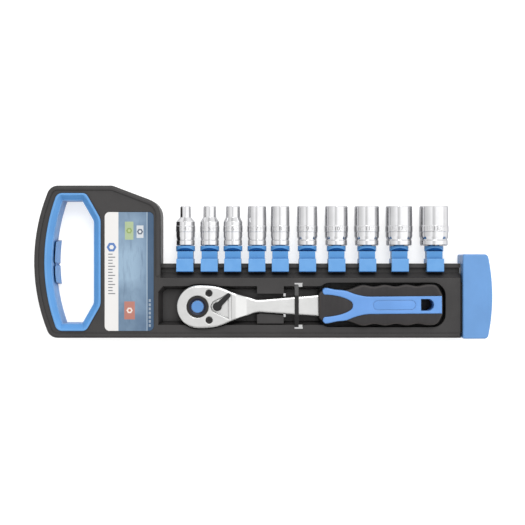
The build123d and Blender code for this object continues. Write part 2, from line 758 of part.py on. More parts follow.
with BuildPart() as ratchet_body:
    add(block)
    # Room for the cover plate, the gear and the pawl.
    with BuildSketch(RATCHET):
        with Locations((COVER_END - 30, 0)):
            Rectangle(60, 40)
    extrude(amount=-COVER_THICK, mode=Mode.SUBTRACT)
    bore(GEAR_TIP + 0.45, -COVER_THICK, CAVITY_LOW)
    with BuildSketch(RATCHET.offset(CAVITY_LOW)):
        with BuildLine():
            reach = CenterArc((0, 0), 10.2, -41.0, 82.0)
            Line(reach @ 0, (0, 0))
            Line(reach @ 1, (0, 0))
        make_face()
        with Locations((PIVOT_X, 0)):
            Circle(3.9)
    extrude(amount=-COVER_THICK - CAVITY_LOW, mode=Mode.SUBTRACT)
    bore(JOURNAL_RADIUS + RUNNING, 0, -HEAD_THICK - 1)
    for spot in SCREW_SPOTS:
        seat = Plane(RATCHET.from_local_coords((*spot, 0)), x_dir=RATCHET.x_dir)
        bore(SCREW_CORE + 0.02, 0, SCREW_END - 0.4, seat)
    # Tang that the grip is moulded on.
    with BuildSketch(RATCHET.offset(TANG_Z[0])):
        with Locations(((GRIP_START + TANG_END) / 2 - 0.5, 0)):
            Rectangle(TANG_END - GRIP_START + 1, 2 * TANG_HALF)
    extrude(amount=TANG_Z[1] - TANG_Z[0])
save(ratchet_body.part, "ratchet_body")


def lever_bed(radius):
    """Fan-shaped bed round the lever's pivot, open towards the shaft."""
    end_x, end_y = BED_END
    with BuildSketch() as fan:
        with BuildLine():
            bed = CenterArc((PIVOT_X, 0), radius, BED_ARC[0], BED_ARC[1])
            inset = BED_RADIUS - radius
            Polyline(bed @ 0, (end_x, end_y - inset), (end_x, inset - end_y), bed @ 1)
        make_face()
    return fan.sketch


with BuildPart() as head_cover:
    add(block)
    with BuildSketch(RATCHET.offset(-COVER_THICK + 0.01)):
        with Locations((COVER_END - 30.05, 0)):
            Rectangle(60, 40)
    extrude(amount=COVER_THICK, mode=Mode.INTERSECT)
    bore(COLLAR_RADIUS + RUNNING, 1, -3)
    bore(LEVER_STEM + RUNNING, 1, -3, PIVOT)
    # Sunk bed in which the lever's boss turns, with a fine seam round it.
    with BuildSketch(RATCHET.offset(-BED_DEEP)):
        add(lever_bed(BED_RADIUS))
    extrude(amount=1, mode=Mode.SUBTRACT)
    with BuildSketch(RATCHET.offset(-BED_SEAM_DEEP)):
        add(lever_bed(BED_RADIUS))
        add(lever_bed(BED_RADIUS - BED_SEAM), mode=Mode.SUBTRACT)
    extrude(amount=1, mode=Mode.SUBTRACT)
    for spot in SCREW_SPOTS:
        seat = Plane(RATCHET.from_local_coords((*spot, 0)), x_dir=RATCHET.x_dir)
        bore(SCREW_CORE + 0.2, 1, -3, seat)
        bore(SCREW_HEAD + 0.05, 1, -0.95, seat)
save(head_cover.part, "head_cover")

with BuildPart() as cover_screws:
    for spot in SCREW_SPOTS:
        seat = Plane(RATCHET.from_local_coords((*spot, 0)), x_dir=RATCHET.x_dir)
        bore(SCREW_CORE, -0.9, SCREW_END, seat, Mode.ADD)
        bore(SCREW_HEAD, 0.15, -0.93, seat, Mode.ADD)
    rims = cover_screws.faces().filter_by(GeomType.PLANE).group_by(Axis.Z)[-1].edges()
    fillet(rims, 0.3)
    for spot in SCREW_SPOTS:
        with BuildSketch(Plane(RATCHET.from_local_coords((*spot, 0.2)), x_dir=RATCHET.x_dir)):
            RegularPolygon(radius=SCREW_HEX, side_count=6)
        extrude(amount=-0.9, mode=Mode.SUBTRACT)
save(cover_screws.part, "cover_screws")

with BuildPart() as drive_gear:
    step = 180 / GEAR_TEETH
    teeth = []
    for i in range(2 * GEAR_TEETH):
        radius = GEAR_TIP if i % 2 == 0 else GEAR_ROOT
        teeth.append((radius * cos(radians(i * step)), radius * sin(radians(i * step))))
    with BuildSketch(RATCHET.offset(CAVITY_LOW + 0.15)):
        Polygon(*teeth, align=None)
    extrude(amount=-COVER_THICK - CAVITY_LOW - 0.3)
    bore(JOURNAL_RADIUS, CAVITY_LOW + 0.2, -HEAD_THICK, mode=Mode.ADD)
    bore(COLLAR_SEAT, -0.2, -COVER_THICK - 0.2, mode=Mode.ADD)
    with BuildSketch(RATCHET.offset(-HEAD_THICK)):
        Rectangle(ANVIL_SIDE, ANVIL_SIDE)
    extrude(amount=-ANVIL_LONG)
    chamfer(drive_gear.faces().sort_by(Axis.Z)[0].edges(), 0.7)
    bore(BUTTON_RADIUS + RUNNING, 0, BUTTON_LOW - BUTTON_TRAVEL - 0.4)
    bore(2.6, -3, SPRING_LOW)
    bore(PIN_RADIUS + RUNNING, -3, -HEAD_THICK - ANVIL_LONG + 0.8)
    with BuildSketch(Plane(RATCHET.from_local_coords((0, 0, BALL_DEPTH)), z_dir=RATCHET.x_dir)):
        Circle(BALL_RADIUS + RUNNING)
    extrude(amount=ANVIL_SIDE, mode=Mode.SUBTRACT)
save(drive_gear.part, "drive_gear")

with BuildPart() as gear_collar:
    with BuildSketch(RATCHET_SIDE):
        with BuildLine():
            Polyline(
                (COLLAR_BORE, -0.2),
                (COLLAR_BORE, -0.12),
                (COLLAR_BEVEL, 0.25),
                (COLLAR_RADIUS - 0.35, 0.25),
                (COLLAR_RADIUS, -0.1),
                (COLLAR_RADIUS, -COVER_THICK + 0.05),
                (COLLAR_SEAT, -COVER_THICK + 0.05),
                (COLLAR_SEAT, -0.2),
                close=True,
            )
        make_face()
    revolve(axis=DRIVE_AXIS)
save(gear_collar.part, "gear_collar")

with BuildPart() as release_button:
    bore(BUTTON_RADIUS, 0.9, BUTTON_LOW, mode=Mode.ADD)
    fillet(release_button.faces().sort_by(Axis.Z)[-1].edges(), 0.6)
    bore(PIN_RADIUS + 0.02, BUTTON_LOW + 1.5, BUTTON_LOW - 1)
save(release_button.part, "release_button")

with BuildPart() as release_pin:
    ball_slope = BALL_PROUD / BUTTON_TRAVEL
    with BuildSketch(RATCHET_SIDE):
        with BuildLine():
            Polyline(
                (0, BUTTON_LOW + 1.5),
                (PIN_RADIUS, BUTTON_LOW + 1.5),
                (PIN_RADIUS, BALL_DEPTH + BUTTON_TRAVEL + 1.5),
                (PIN_RADIUS - BALL_PROUD, BALL_DEPTH + BUTTON_TRAVEL + 1.0),
                (PIN_RADIUS - BALL_PROUD, BALL_DEPTH + BUTTON_TRAVEL),
                (PIN_RADIUS, BALL_DEPTH),
                (PIN_RADIUS, -16.8),
                (0, -16.8),
                close=True,
            )
        make_face()
    revolve(axis=DRIVE_AXIS)
save(release_pin.part, "release_pin")

with BuildPart() as detent_ball:
    offset_x = ANVIL_SIDE / 2 + BALL_PROUD - BALL_RADIUS
    with Locations(RATCHET.from_local_coords((offset_x, 0, BALL_DEPTH))):
        Sphere(BALL_RADIUS)
save(detent_ball.part, "detent_ball")


def make_spring(plane, coil, wire, length, turns, name):
    """A compression spring standing on a plane."""
    with BuildPart() as spring:
        rise = length - 2 * wire
        foot = plane.offset(wire)
        with BuildLine():
            path = Helix(rise / turns, rise, coil, center=tuple(foot.origin), direction=tuple(foot.z_dir))
        with BuildSketch(Plane(origin=path @ 0, z_dir=path % 0)):
            Circle(wire)
        sweep(is_frenet=True)
    save(spring.part, name)


make_spring(RATCHET.offset(SPRING_LOW + 0.05), 1.9, 0.3, BUTTON_LOW - SPRING_LOW - 0.1, 4.5, "button_spring")

with BuildPart() as pawl:
    with BuildSketch(RATCHET.offset(CAVITY_LOW + 0.1)):
        add(pawl_outline())
    extrude(amount=6.8)
    with BuildSketch(RATCHET.offset(CAVITY_LOW + 0.1)):
        with Locations((PIVOT_X, 0)):
            Circle(2.9)
        with Locations(((PIVOT_X + 8.2) / 2, 0)):
            Rectangle(PIVOT_X - 8.2, 4.4)
    extrude(amount=2.5)
    bore(LEVER_PIN + RUNNING, 0, -12, PIVOT)
save(pawl.part, "pawl")

LEVER = Plane(
    origin=PIVOT.origin,
    x_dir=(cos(radians(HEAD_TURN + LEVER_ANGLE)), sin(radians(HEAD_TURN + LEVER_ANGLE)), 0),
    z_dir=(0, 0, 1),
)
PLUNGER = Plane(origin=LEVER.from_local_coords((0, 0, -4.0)), x_dir=LEVER.y_dir, z_dir=-LEVER.x_dir)

with BuildPart() as lever:
    bore(LEVER_PIN, -5.9, CAVITY_LOW + 0.05, LEVER, Mode.ADD)
    bore(LEVER_STEM, -0.4, -6.0, LEVER, Mode.ADD)
    bore(LEVER_BOSS, 1.4, -0.42, LEVER, Mode.ADD)
    with BuildSketch(LEVER.offset(0.15)):
        with BuildLine():
            tip = CenterArc((LEVER_LONG, 0), LEVER_TIP, -90, 180)
            Polyline(tip @ 0, (0, -LEVER_ROOT), (0, LEVER_ROOT), tip @ 1)
        make_face()
    extrude(amount=1.25)
    fillet(lever.faces().sort_by(Axis.Z)[-1].edges(), 0.4)
    with BuildSketch(PLUNGER.offset(0.1)):
        Circle(0.9)
    extrude(amount=4, mode=Mode.SUBTRACT)
save(lever.part, "lever")

with BuildPart() as lever_plunger:
    with BuildSketch(PLUNGER.offset(1.5)):
        Circle(0.85)
    extrude(amount=1.5)
    fillet(lever_plunger.faces().sort_by(Axis((0, 0, 0), tuple(PLUNGER.z_dir)))[-1].edges(), 0.5)
save(lever_plunger.part, "lever_plunger")
make_spring(PLUNGER.offset(0.12), 0.62, 0.14, 1.35, 3.5, "plunger_spring")


# ---- Grip ---------------------------------------------------------------------------------------
def rubber_outline():
    """The whole grip from above: front lip, waist, and finger waves along both sides."""
    waves = [
        (WAVE_START + i * WAVE_PITCH / 2, GRIP_HALF - (WAVE_DEEP if i % 2 else 0)) for i in range(7)
    ]
    front = (GRIP_START + 1.2, 8.8)
    waist = [(85.0, 9.3), (92.0, 9.4), (97.3, 10.9)]
    with BuildSketch() as outline:
        with BuildLine():
            side = Spline(front, *waist, *waves, tangents=((1, 0.6), (1, 0)))
            end = Spline(
                side @ 1,
                (149.6, 11.3),
                (GRIP_END - 1.0, 7.6),
                (GRIP_END, 0),
                tangents=((1, 0), (0, -1)),
            )
            Polyline(end @ 1, (GRIP_START, 0), (GRIP_START, 7.4), side @ 0)
        make_face()
        mirror(about=Plane.XZ)
    return outline.sketch


def core_outline():
    """The hard core: two fork arms round the rubber window, and a bar back to the hanging end."""
    with BuildSketch() as outline:
        with BuildLine():
            outer = Spline(
                (79.6, 11.0),
                (83.6, 10.4),
                (88.5, 9.6),
                (92.3, 9.2),
                (97.0, 7.5),
                (102.0, 6.1),
                (108.0, BAR_HALF),
                tangents=((1, 0.1), (1, 0)),
            )
            inner = Spline(
                (79.2, 6.9),
                (84.0, 6.5),
                (90.0, 5.2),
                (94.8, 3.1),
                (96.7, 0),
                tangents=((1, 0), (0, -1)),
            )
            ThreePointArc(inner @ 0, (FORK_START, 8.9), outer @ 0)
            bar_end = GRIP_END - 0.7
            Polyline(outer @ 1, (bar_end, BAR_HALF), (bar_end, 0), inner @ 1)
        make_face()
        mirror(about=Plane.XZ)
    return outline.sketch


def hang_hole():
    """D-shaped hole at the end of the grip, flat towards the head."""
    with BuildSketch() as hole:
        with Locations((HOLE_X, 0)):
            SlotOverall(*HOLE_SIZE)
        with Locations((HOLE_X - 1.9, 0)):
            Rectangle(4.3, HOLE_SIZE[1])
    return hole.sketch


def cut_tang():
    """Takes the room of the ratchet's tang out of the grip part being made."""
    with BuildSketch(RATCHET.offset(TANG_Z[0])) as slot:
        with Locations(((GRIP_START + TANG_END) / 2, 0)):
            Rectangle(TANG_END - GRIP_START, 2 * TANG_HALF)
    extrude(slot.sketch, amount=TANG_Z[1] - TANG_Z[0], mode=Mode.SUBTRACT)


with BuildPart() as core_shape:
    with BuildSketch(RATCHET.offset(GRIP_LOW)):
        add(core_outline())
    extrude(amount=GRIP_TOP - GRIP_LOW)
    fillet(core_shape.faces().filter_by(Axis.Z).edges(), CORE_ROUND)
    # Channel through both fork arms, where the rubber runs across under them.
    with BuildSketch(RATCHET.offset(-9.4)):
        with Locations((89.0, 0)):
            Rectangle(10.0, 30.0)
    extrude(amount=8.0, mode=Mode.SUBTRACT)

with BuildPart() as grip_core:
    add(core_shape.part)
    cut_tang()
    with BuildSketch(RATCHET.offset(GRIP_LOW - 1)):
        add(hang_hole())
    extrude(amount=GRIP_TOP - GRIP_LOW + 2, mode=Mode.SUBTRACT)
    with BuildSketch(RATCHET.offset(GRIP_TOP)):
        with Locations((BADGE[0], 0)):
            SlotOverall(BADGE[1], BADGE[2])
            SlotOverall(BADGE[1] - 2 * BADGE_LINE, BADGE[2] - 2 * BADGE_LINE, mode=Mode.SUBTRACT)
    extrude(amount=-0.3, mode=Mode.SUBTRACT)
save(grip_core.part, "grip_core")

with BuildPart() as grip_rubber:
    with BuildSketch(RATCHET.offset(GRIP_LOW + 0.5)):
        add(rubber_outline())
    extrude(amount=GRIP_TOP - GRIP_LOW - 1.0)
    fillet(grip_rubber.faces().filter_by(Axis.Z).edges(), RUBBER_ROUND)
    add(core_shape.part, mode=Mode.SUBTRACT)
    cut_tang()
save(grip_rubber.part, "grip_rubber")

# ---- Strap --------------------------------------------------------------------------------------
with BuildPart() as strap:
    top = HEAD_TOP + SHAFT_TOP + 0.3 + STRAP_THICK
    high_y, low_y = STRAP_LEGS_Y
    with BuildSketch(Plane.YZ.offset(STRAP_X - STRAP_WIDE / 2)):
        with BuildLine():
            Polyline(
                (high_y, STRAP_LOW),
                (high_y, STRAP_BEND),
                (STRAP_FLAT_Y[0], top),
                (STRAP_FLAT_Y[1], top),
                (low_y, STRAP_BEND),
                (low_y, STRAP_LOW),
                (low_y + STRAP_THICK, STRAP_LOW),
                (low_y + STRAP_THICK, STRAP_BEND - 0.5),
                (STRAP_FLAT_Y[1] + 0.4, top - STRAP_THICK),
                (STRAP_FLAT_Y[0] - 0.4, top - STRAP_THICK),
                (high_y - STRAP_THICK, STRAP_BEND - 0.5),
                (high_y - STRAP_THICK, STRAP_LOW),
                close=True,
            )
        make_face()
    extrude(amount=STRAP_WIDE)
    bends = strap.edges().filter_by(Axis.X).filter_by(lambda e: e.center().Z > 15)
    fillet(bends.group_by(Axis.Z)[-1], 0.8)
save(strap.part, "strap")
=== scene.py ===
"""Looks of a quarter inch socket set in its carrying tray.

Row frame, metres: +X from the carrying handle to the end cap, +Y towards the sockets, +Z out of the tray's face.
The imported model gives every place. This script adds materials, rounded copies of the moulded parts, the printed
card, and the etched sizes and ticks on the sockets.
"""

import json
import math
import random

import bmesh
import bpy
from mathutils import Matrix, Vector


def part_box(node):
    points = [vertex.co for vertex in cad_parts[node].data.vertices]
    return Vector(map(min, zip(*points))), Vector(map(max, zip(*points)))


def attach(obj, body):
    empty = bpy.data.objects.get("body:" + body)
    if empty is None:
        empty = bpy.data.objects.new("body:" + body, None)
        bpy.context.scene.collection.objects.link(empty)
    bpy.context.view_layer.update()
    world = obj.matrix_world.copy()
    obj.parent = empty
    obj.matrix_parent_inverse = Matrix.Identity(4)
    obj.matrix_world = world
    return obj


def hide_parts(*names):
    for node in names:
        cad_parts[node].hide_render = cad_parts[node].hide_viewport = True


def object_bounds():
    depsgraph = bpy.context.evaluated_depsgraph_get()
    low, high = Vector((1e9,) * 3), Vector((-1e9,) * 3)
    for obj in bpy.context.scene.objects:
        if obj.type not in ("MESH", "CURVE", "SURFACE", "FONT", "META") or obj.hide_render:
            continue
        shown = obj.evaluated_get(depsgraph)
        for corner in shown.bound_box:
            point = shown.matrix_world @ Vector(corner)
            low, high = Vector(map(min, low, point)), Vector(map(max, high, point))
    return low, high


MM = 0.001
TENT = 1.8  # brightness of the white tent against the floor; surface colours are divided by it
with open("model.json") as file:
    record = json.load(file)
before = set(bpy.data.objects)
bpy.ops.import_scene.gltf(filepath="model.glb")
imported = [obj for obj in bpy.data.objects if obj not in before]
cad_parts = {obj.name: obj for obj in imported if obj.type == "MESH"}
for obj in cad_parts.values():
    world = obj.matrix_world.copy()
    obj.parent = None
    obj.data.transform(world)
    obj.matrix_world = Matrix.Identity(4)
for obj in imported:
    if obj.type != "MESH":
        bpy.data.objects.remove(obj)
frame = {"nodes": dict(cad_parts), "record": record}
cad_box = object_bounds()
nodes = frame["nodes"]


def linear(red, green, blue):
    """A surface colour, given as the 0 to 255 screen values it shows in the tent's light."""
    values = []
    for level in (red, green, blue):
        level /= 255
        values.append((level / 12.92 if level <= 0.04045 else ((level + 0.055) / 1.055) ** 2.4) / TENT)
    return (*values, 1.0)


def scaled(colour, factor):
    """A colour made lighter or darker."""
    return tuple(factor * level for level in colour[:3]) + (1.0,)


# ---- Camera -------------------------------------------------------------------------------------
CAMERA_HEIGHT = 750 * MM
CAMERA_ASIDE = 0.3 * MM
LENS = 80
middle = (Vector(cad_box[0]) + Vector(cad_box[1])) / 2
camera = bpy.data.objects.new("camera", bpy.data.cameras.new("camera"))
camera.data.lens = LENS
camera.data.sensor_width = 36
camera.location = (middle.x - CAMERA_ASIDE, middle.y - CAMERA_ASIDE, CAMERA_HEIGHT)
bpy.context.scene.collection.objects.link(camera)
bpy.context.scene.camera = camera


# ---- Shader building ----------------------------------------------------------------------------
SPECULAR = 0.5 / TENT
SOFT_BORDER = 0.04 * MM
CORNER_REACH = 3.5 * MM
MARK_SPREAD = 0.05


class Paint:
    """One material. Each method adds nodes and gives back an output socket."""

    def __init__(self, name, **surface):
        self.material = bpy.data.materials.new(name)
        self.material.use_nodes = True
        self.tree = self.material.node_tree
        self.surface = self.tree.nodes["Principled BSDF"]
        self.coords = self.tree.nodes.new("ShaderNodeTexCoord").outputs["Object"]
        self.surface.inputs["Specular IOR Level"].default_value = SPECULAR
        for key, value in surface.items():
            self.feed(self.surface.inputs[key.replace("_", " ")], value)

    def feed(self, socket, value):
        """Links an output to a socket, or sets the socket's own value."""
        if isinstance(value, bpy.types.NodeSocket):
            self.tree.links.new(value, socket)
        else:
            socket.default_value = value

    def finish(self, colour=None, roughness=None, normal=None):
        """Feeds the surface's colour, roughness and normal, and gives back the material."""
        for key, value in (("Base Color", colour), ("Roughness", roughness), ("Normal", normal)):
            if value is not None:
                self.feed(self.surface.inputs[key], value)
        return self.material

    def node(self, kind, inputs, **settings):
        """A node with its settings and its inputs, by name or number."""
        node = self.tree.nodes.new(kind)
        for key, value in settings.items():
            setattr(node, key, value)
        for key, value in inputs.items():
            self.feed(node.inputs[key], value)
        return node

    def place(self):
        """The x, y and z of a point of the object, in metres."""
        return self.node("ShaderNodeSeparateXYZ", {0: self.coords}).outputs

    def facing(self):
        """The x, y and z of the true surface normal."""
        true = self.node("ShaderNodeNewGeometry", {}).outputs["True Normal"]
        return self.node("ShaderNodeSeparateXYZ", {0: true}).outputs

    def noise(self, size, detail=2.0, stretch=None):
        """Noise with features of about this size in metres; stretch scales the three axes first."""
        vector = self.coords
        if stretch:
            vector = self.node("ShaderNodeMapping", {"Vector": vector, "Scale": stretch}).outputs[0]
        inputs = {"Vector": vector, "Scale": 1 / size, "Detail": detail}
        return self.node("ShaderNodeTexNoise", inputs).outputs["Fac"]

    def maths(self, operation, first, second=0.0, third=0.0):
        """One arithmetic node."""
        return self.node("ShaderNodeMath", {0: first, 1: second, 2: third}, operation=operation).outputs[0]

    def span(self, value, low, high, out_low=0.0, out_high=1.0):
        """value from low..high mapped to out_low..out_high, held at the ends."""
        inputs = {"Value": value, "From Min": low, "From Max": high, "To Min": out_low, "To Max": out_high}
        return self.node("ShaderNodeMapRange", inputs).outputs[0]

    def mix(self, factor, first, second):
        """Two colours mixed."""
        inputs = {"Factor": factor, 6: first, 7: second}
        return self.node("ShaderNodeMix", inputs, data_type="RGBA").outputs[2]

    def bump(self, height, depth, normal=None):
        """A normal bent by a height pattern that is depth metres deep."""
        inputs = {"Height": height, "Distance": depth, "Strength": 1.0}
        if normal is not None:
            inputs["Normal"] = normal
        return self.node("ShaderNodeBump", inputs).outputs[0]

    def edges(self, radius):
        """(softened normal, 0..1 mask of the edges)."""
        soft = self.node("ShaderNodeBevel", {"Radius": radius}, samples=4).outputs[0]
        true = self.node("ShaderNodeNewGeometry", {}).outputs["Normal"]
        dot = self.node("ShaderNodeVectorMath", {0: soft, 1: true}, operation="DOT_PRODUCT").outputs["Value"]
        return soft, self.span(dot, 0.995, 0.80)

    def shade_mask(self, reach, low=0.35, high=0.95):
        """0 in narrow corners within this reach, 1 in the open: the mask for painted shade."""
        inputs = {"Distance": reach}
        occlusion = self.node("ShaderNodeAmbientOcclusion", inputs, samples=4).outputs["AO"]
        return self.span(occlusion, low, high)

    def inside(self, value, low, high, soft=SOFT_BORDER):
        """1 where value lies between low and high, with soft borders."""
        rise = self.span(value, low - soft, low + soft)
        fall = self.span(value, high - soft, high + soft, 1.0, 0.0)
        return self.maths("MULTIPLY", rise, fall)

    def rectangle(self, left, right, low, high):
        """1 inside a rectangle of the x-y plane."""
        x, y, _ = self.place()
        return self.maths("MULTIPLY", self.inside(x, left, right), self.inside(y, low, high))

    def hexagon(self, centre_x, centre_y, radius):
        """Distance measure of a hexagon in the x-y plane: below radius inside it."""
        x, y, _ = self.place()
        across = self.maths("ABSOLUTE", self.maths("SUBTRACT", x, centre_x))
        along = self.maths("ABSOLUTE", self.maths("SUBTRACT", y, centre_y))
        slant = self.maths("MULTIPLY_ADD", across, 0.866, self.maths("MULTIPLY", along, 0.5))
        return self.inside(self.maths("MAXIMUM", slant, along), -radius, radius)


def moulded(name, colour, wear_and_highlight, rough, depth=0.012 * MM, edge=0.35 * MM, cloudy=0.04, corner_shade=None, slope_highlight=None):
    """Injection-moulded plastic: fine grain, cloudy tone, edges lighter as rubbed wear and as a painted highlight,
    painted shade darkening the corners, and a painted highlight lightening the rounded rims.
    """
    paint = Paint(name)
    cloud = paint.noise(14 * MM, 4.0)
    scuff = paint.noise(1.5 * MM, 4.0, (1.0, 0.25, 1.0))
    soft, mask = paint.edges(edge)
    tone = paint.mix(paint.span(cloud, 0.35, 0.65), scaled(colour, 1 - cloudy), scaled(colour, 1 + cloudy))
    # Painted highlight: sloped rims lightened, as where they catch the light.
    if slope_highlight:
        slant = paint.inside(paint.facing()[2], 0.5, 0.94, 0.06)
        tone = paint.mix(paint.maths("MULTIPLY", slant, 0.8), tone, slope_highlight)
    # Edges lightened, partly as rubbed wear and partly as a painted highlight.
    rubbed_and_lit = paint.maths("MULTIPLY", mask, paint.span(scuff, 0.35, 0.7, 0.45, 0.85))
    tone = paint.mix(rubbed_and_lit, tone, wear_and_highlight)
    # Painted shade: narrow corners darkened towards the corner colour.
    if corner_shade:
        tone = paint.mix(paint.shade_mask(CORNER_REACH), corner_shade, tone)
    return paint.finish(
        tone,
        paint.span(scuff, 0.3, 0.7, rough - 0.06, rough + 0.06),
        paint.bump(paint.noise(0.25 * MM), depth, soft),
    )


def clip_plastic():
    """Blue polypropylene with painted light: painted shade makes its sloped faces towards the tray a deeper blue
    and darkens its neck and corners, and a painted highlight lightens its edges.
    """
    paint = Paint("clip_blue")
    cloud = paint.noise(5 * MM, 3.0)
    soft, mask = paint.edges(0.3 * MM)
    tone = paint.mix(paint.span(cloud, 0.35, 0.65), linear(104, 167, 231), linear(112, 173, 235))
    # Painted shade: the neck and flange above the block darker than the block.
    tone = paint.mix(paint.span(paint.place()[1], 1.9 * MM, 2.3 * MM), tone, linear(90, 159, 224))
    # Painted highlight on the edges.
    tone = paint.mix(paint.maths("MULTIPLY", mask, 0.5), tone, linear(168, 210, 248))
    # Painted shade: faces sloping down towards the tray painted a deep blue.
    _, normal_y, normal_z = paint.facing()
    shaded_slope = paint.maths("MULTIPLY", paint.span(normal_y, -0.3, -0.5), paint.span(normal_z, 0.2, 0.35))
    tone = paint.mix(shaded_slope, tone, linear(30, 112, 196))
    # Painted shade in the clip's corners.
    tone = paint.mix(paint.shade_mask(3 * MM, 0.2, 0.7), linear(52, 110, 186), tone)
    return paint.finish(tone, 0.42, paint.bump(paint.noise(0.3 * MM), 0.006 * MM, soft))


def metal(name, colour, rough, depth, stretch, edge=0.2 * MM, polished=None, **surface):
    """Metal with fine working marks drawn out along one axis. Polished is the roughness of its sloped sides."""
    paint = Paint(name, Metallic=1.0, **surface)
    marks = paint.noise(0.35 * MM, 3.0, stretch)
    cloud = paint.noise(6 * MM, 3.0)
    soft, _ = paint.edges(edge)
    tone = paint.mix(paint.span(cloud, 0.3, 0.7), scaled(colour, 0.93), colour)
    roughness = paint.span(marks, 0.3, 0.7, rough - MARK_SPREAD, rough + MARK_SPREAD)
    if polished:
        flat = paint.span(paint.maths("ABSOLUTE", paint.facing()[2]), 0.90, 0.94)
        roughness = paint.maths("MULTIPLY_ADD", flat, paint.maths("SUBTRACT", roughness, polished), polished)
    return paint.finish(tone, roughness, paint.bump(marks, depth, soft))


# The card's layout, in millimetres from its left and lower edges
BAND_WIDE = 8.6
STRIP = (26.6, 32.0)
STRIP_LINE = (26.3, 26.8)
DASHES, DASH_START, DASH_PITCH, DASH_LONG = 7, 2.5, 2.6, 1.7
DASH_SIDES = (27.6, 28.9)
RULE_TICKS, RULE_START, RULE_PITCH, RULE_THICK, RULE_LEFT = 14, 23.0, 1.9, 0.65, 2.2
BAND_NUT = (4.3, 52.4)


def printed_card():
    """The card under its clear film: white band, misty blue picture, dark strip and three tags."""
    paint = Paint("label_print", Coat_Weight=0.35, Coat_Roughness=0.12)
    low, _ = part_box("label_card")
    left, bottom = low.x, low.y
    x, y, _ = paint.place()
    mist = paint.noise(16 * MM, 5.0)
    streak = paint.noise(2.0 * MM, 4.0, (1.0, 0.18, 1.0))
    glow = paint.maths("ABSOLUTE", paint.maths("SUBTRACT", y, bottom + 42 * MM))
    glow = paint.span(glow, 4 * MM, 40 * MM, 1.0, 0.0)
    glow = paint.maths("MULTIPLY_ADD", paint.span(mist, 0.3, 0.7), 0.5, paint.maths("MULTIPLY", glow, 0.75))
    tone = paint.mix(glow, linear(78, 106, 136), linear(158, 186, 210))
    tone = paint.mix(paint.span(streak, 0.55, 0.8, 0.0, 0.4), tone, linear(56, 82, 112))
    right_shade = paint.span(x, left + 18 * MM, left + 30 * MM, 0.0, 0.45)
    tone = paint.mix(right_shade, tone, linear(36, 74, 118))
    strip = paint.inside(x, left + STRIP[0] * MM, left + STRIP[1] * MM)
    tone = paint.mix(paint.maths("MULTIPLY", strip, 0.75), tone, linear(30, 72, 108))
    line = paint.inside(x, left + STRIP_LINE[0] * MM, left + STRIP_LINE[1] * MM)
    tone = paint.mix(paint.maths("MULTIPLY", line, 0.7), tone, linear(196, 214, 228))
    for mark in range(DASHES):
        start = bottom + (DASH_START + DASH_PITCH * mark) * MM
        dash = paint.rectangle(left + DASH_SIDES[0] * MM, left + DASH_SIDES[1] * MM, start, start + DASH_LONG * MM)
        tone = paint.mix(paint.maths("MULTIPLY", dash, 0.45), tone, linear(214, 224, 232))
    tags = [
        (12.7, 18.0, 57.1, 68.4, linear(190, 208, 150), linear(150, 172, 104)),
        (20.0, 24.3, 58.2, 66.0, linear(236, 238, 240), linear(96, 108, 126)),
        (12.3, 18.9, 7.2, 18.4, linear(206, 122, 92), linear(248, 232, 224)),
    ]
    for tag_left, tag_right, tag_low, tag_high, ground, ink in tags:
        sides = [left + tag_left * MM, left + tag_right * MM, bottom + tag_low * MM, bottom + tag_high * MM]
        tone = paint.mix(paint.maths("MULTIPLY", paint.rectangle(*sides), 0.8), tone, ground)
        nut_x, nut_y = (sides[0] + sides[1]) / 2, (sides[2] + sides[3]) / 2
        tone = paint.mix(paint.hexagon(nut_x, nut_y, 1.7 * MM), tone, ink)
        tone = paint.mix(paint.hexagon(nut_x, nut_y, 0.8 * MM), tone, ground)
    band = paint.inside(x, left - 1 * MM, left + BAND_WIDE * MM, 0.15 * MM)
    tone = paint.mix(band, tone, linear(246, 244, 242))
    for tick in range(RULE_TICKS):
        at = bottom + (RULE_START + RULE_PITCH * tick) * MM
        reach = 4.4 if tick % 3 == 0 else 2.8
        bar = paint.rectangle(left + RULE_LEFT * MM, left + (RULE_LEFT + reach) * MM, at, at + RULE_THICK * MM)
        tone = paint.mix(bar, tone, linear(132, 134, 140))
    nut = (left + BAND_NUT[0] * MM, bottom + BAND_NUT[1] * MM)
    tone = paint.mix(paint.hexagon(*nut, 2.7 * MM), tone, linear(92, 132, 196))
    tone = paint.mix(paint.hexagon(*nut, 1.3 * MM), tone, linear(246, 244, 242))
    wrinkle = paint.bump(paint.noise(7 * MM, 2.0, (1.0, 0.3, 1.0)), 0.25 * MM)
    return paint.finish(tone, 0.38, wrinkle)


# Plastics. The corner colours are painted shade, the rim colour is a painted highlight, and the worn colours
# lighten edges as wear and as a painted highlight.
TRAY_BLACK = moulded(
    "tray_black", linear(58, 56, 56), linear(88, 84, 82), 0.52, 0.016 * MM, cloudy=0.10, corner_shade=linear(16, 15, 15)
)
INSERT_BLUE = moulded(
    "insert_blue", linear(104, 170, 235), linear(178, 213, 246), 0.42, edge=0.6 * MM, corner_shade=linear(40, 104, 184)
)
CAP_BLUE = moulded("cap_blue", linear(111, 163, 223), linear(146, 190, 238), 0.40)
GRIP_BLUE = moulded("grip_blue", linear(112, 166, 236), linear(150, 196, 246), 0.34, 0.006 * MM)
BUTTON_BLUE = moulded("button_blue", linear(96, 150, 215), linear(110, 160, 222), 0.35, 0.006 * MM)
GRIP_BLACK = moulded(
    "grip_black", linear(46, 43, 44), linear(74, 69, 67), 0.60, 0.02 * MM, cloudy=0.10,
    corner_shade=linear(18, 16, 16), slope_highlight=linear(68, 63, 61),
)
STRAP_BLACK = moulded("strap_black", linear(22, 21, 21), linear(36, 36, 36), 0.36)
LEVER_BLACK = moulded("lever_black", linear(22, 21, 22), linear(52, 52, 54), 0.4)
